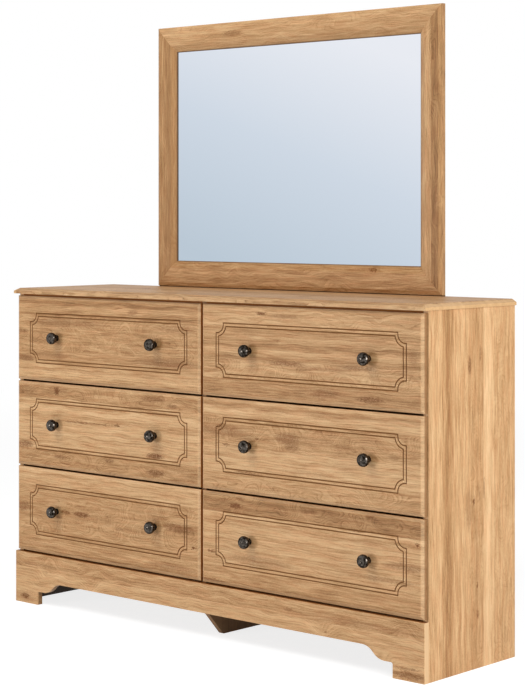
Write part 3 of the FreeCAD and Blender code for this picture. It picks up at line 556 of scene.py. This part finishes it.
zinc_plate, tree = material("zinc_plated_steel")
objects = add(tree, "TexCoord").node.outputs["Object"]
place = add(tree, "Mapping", {"Vector": objects, "Scale": millimetres})
bloom = add(tree, "TexNoise", {"Vector": place, "Scale": 1 / 14, "Detail": 3.0})
colour = add(tree, "Mix", {"Factor": bloom, "A": linear("#C6C9CB"), "B": linear("#9A9EA1")},
             data_type="RGBA")
sheen = add(tree, "MapRange", {0: bloom, "To Min": 0.28, "To Max": 0.48})
surface = add(tree, "BsdfPrincipled", {"Base Color": colour, "Metallic": 1.0, "Roughness": sheen})
add(tree, "OutputMaterial", {"Surface": surface})
dress("cabinet_runners", zinc_plate)
for drawer in front_looks:
    dress("drawer_" + drawer + "_runners", zinc_plate)

# ================================================================ knobs
# Cast metal, turned with a full round head and a fine ring on it, antiqued to a dark pewter: a
# brown-black patina lies in the hollows and thins to bare grey where fingers rub the dome and the rim.

pewter, tree = material("antiqued_dark_pewter")
objects = add(tree, "TexCoord").node.outputs["Object"]
place = add(tree, "Mapping", {"Vector": objects, "Scale": millimetres})
patina = add(tree, "TexNoise", {"Vector": place, "Scale": 1 / 6, "Detail": 4.0})
patina = add(tree, "MapRange", {0: patina, "From Min": 0.40, "From Max": 0.62})
patina_ends, rub_full = -0.197, -0.201  # metres: the neck stays dark, and the head beyond is rubbed
depth = add(tree, "SeparateXYZ", {0: objects}).node.outputs["Y"]
head = add(tree, "MapRange", {0: depth, "From Min": patina_ends, "From Max": rub_full})
patina = add(tree, "Math", {0: patina, 1: head}, operation="MULTIPLY")
colour = add(tree, "Mix", {"Factor": patina, "A": linear("#1A1510"), "B": linear("#5C5650")},
             data_type="RGBA")
sheen = add(tree, "MapRange", {0: patina, "To Min": 0.50, "To Max": 0.14})
surface = add(tree, "BsdfPrincipled", {"Base Color": colour, "Metallic": 1.0, "Roughness": sheen})
add(tree, "OutputMaterial", {"Surface": surface})
for drawer in front_looks:
    dress("drawer_" + drawer + "_knobs", pewter)

# ================================================================ mirror frame
# Four mouldings with a wide flat, a narrow outer bevel and a deeper inner one, foil-wrapped and
# mitred at the corners. A tongue at the rear carries the frame just clear of the dresser's top.
# Dark brown is painted along the sight edge, and painted shade under that tongue.

moulding_width = 75.0
moulding_arris = 0.0005
# Tones: the left moulding's inner bevel and the right one's outer bevel are painted paler, as painted
# highlights; the left moulding is painted darker across its flat towards the glass, and the top one
# darker towards its lower edge.
frame_looks = {          # grain, staves, marks, seed and tones
    "top": (along_x, ((1.0, 0.34, 1.5),), ((-223.0, 5.0, 34.0, 8.0, 0.40, 1.0),), 11.3, (
        ("Y", 24.0, -16.0, "#8F6840", 0.25), ("Y", -33.5, -36.5, "#4A3626", 0.85))),
    "bottom": (along_x, ((1.0, 0.47, 1.9),), (
        (-294.0, 24.0, 40.0, 6.0, 0.32, 0.5), (295.0, 27.0, 14.0, 6.0, 0.55, 1.5),
        (250.0, 25.0, 50.0, 4.0, 0.22, 0.5)), 12.7, (
        ("Y", 34.7, 37.7, "#4A3626", 0.65), ("Y", -36.2, -36.5, "#3A2210", 0.9))),
    "left": (upright, ((1.0, 0.53, 1.7),), ((160.0, -10.0, 40.0, 10.0, 0.15, 0.5),), 14.1, (
        ("Y", -27.0, 17.4, "#8F6840", 0.42), ("Y", 17.5, 18.5, "#D2A878", 0.08),
        ("Y", 33.5, 36.5, "#4A3626", 0.85))),
    "right": (upright, ((0.55, 0.39, 1.6), (1.0, 0.64, 0.2)), (
        (-123.0, 19.0, 34.0, 4.0, 0.45, 0.5),), 15.6, (
        ("Y", -33.5, -36.5, "#4A3626", 0.85), ("Y", 27.0, 28.5, "#EBC89A", 0.12))),
}
for side, (turn, staves, marks, seed, tones) in frame_looks.items():
    node = "mirror_frame_" + side
    dress(node, oak_foil(node, turn, moulding_width, staves, marks, seed=seed, figure=0.8,
                         painted=tones), moulding_arris)

# ================================================================ mirror glass
# Float glass silvered on its back and set behind the frame's lip. It is smooth, and a painted
# reflection lies in its colour: cold in tone, a little bluer and darker towards its foot. Besides
# that, it shows the even light of the room in front of it.

silver, tree = material("silvered_glass")
# The tint is a painted reflection: the glass's colour runs from grey-blue at its foot to pale at its
# upper right.
reflection_foot, reflection_head = 0.89, 1.68       # metres above the floor, at the middle of the glass
reflection_lean = 0.35                        # how much further up the tint is for each metre to the right
objects = add(tree, "TexCoord").node.outputs["Object"]
parts = add(tree, "SeparateXYZ", {0: objects}).node.outputs
slope = add(tree, "Math", {0: parts["X"], 1: reflection_lean, 2: parts["Z"]}, operation="MULTIPLY_ADD")
slope = add(tree, "MapRange", {0: slope, "From Min": reflection_foot, "From Max": reflection_head})
painted_reflection = add(tree, "ValToRGB", {0: slope}, stops=((0.0, linear("#BAC8D5")), (0.52, linear("#CED8E4")),
                                                 (1.0, linear("#E8EBF2"))))
surface = add(tree, "BsdfPrincipled", {"Base Color": painted_reflection, "Metallic": 1.0, "Roughness": 0.03})
add(tree, "OutputMaterial", {"Surface": surface})
dress("mirror_glass", silver)

# ================================================================ mirror backing, battens and screws
# A sheet of hardboard closes the frame behind the glass. Two battens of sawn pine, matt and pale, are
# screwed to the frame and to the case's back with zinc-plated screws.

batten_arris = 0.0008
dress("mirror_backing", brown_hardboard)
dress("mirror_battens", sawn_wood("pine_batten", along_z, "#DFC598", "#C29C66"), batten_arris)
dress("batten_screws", zinc_plate)
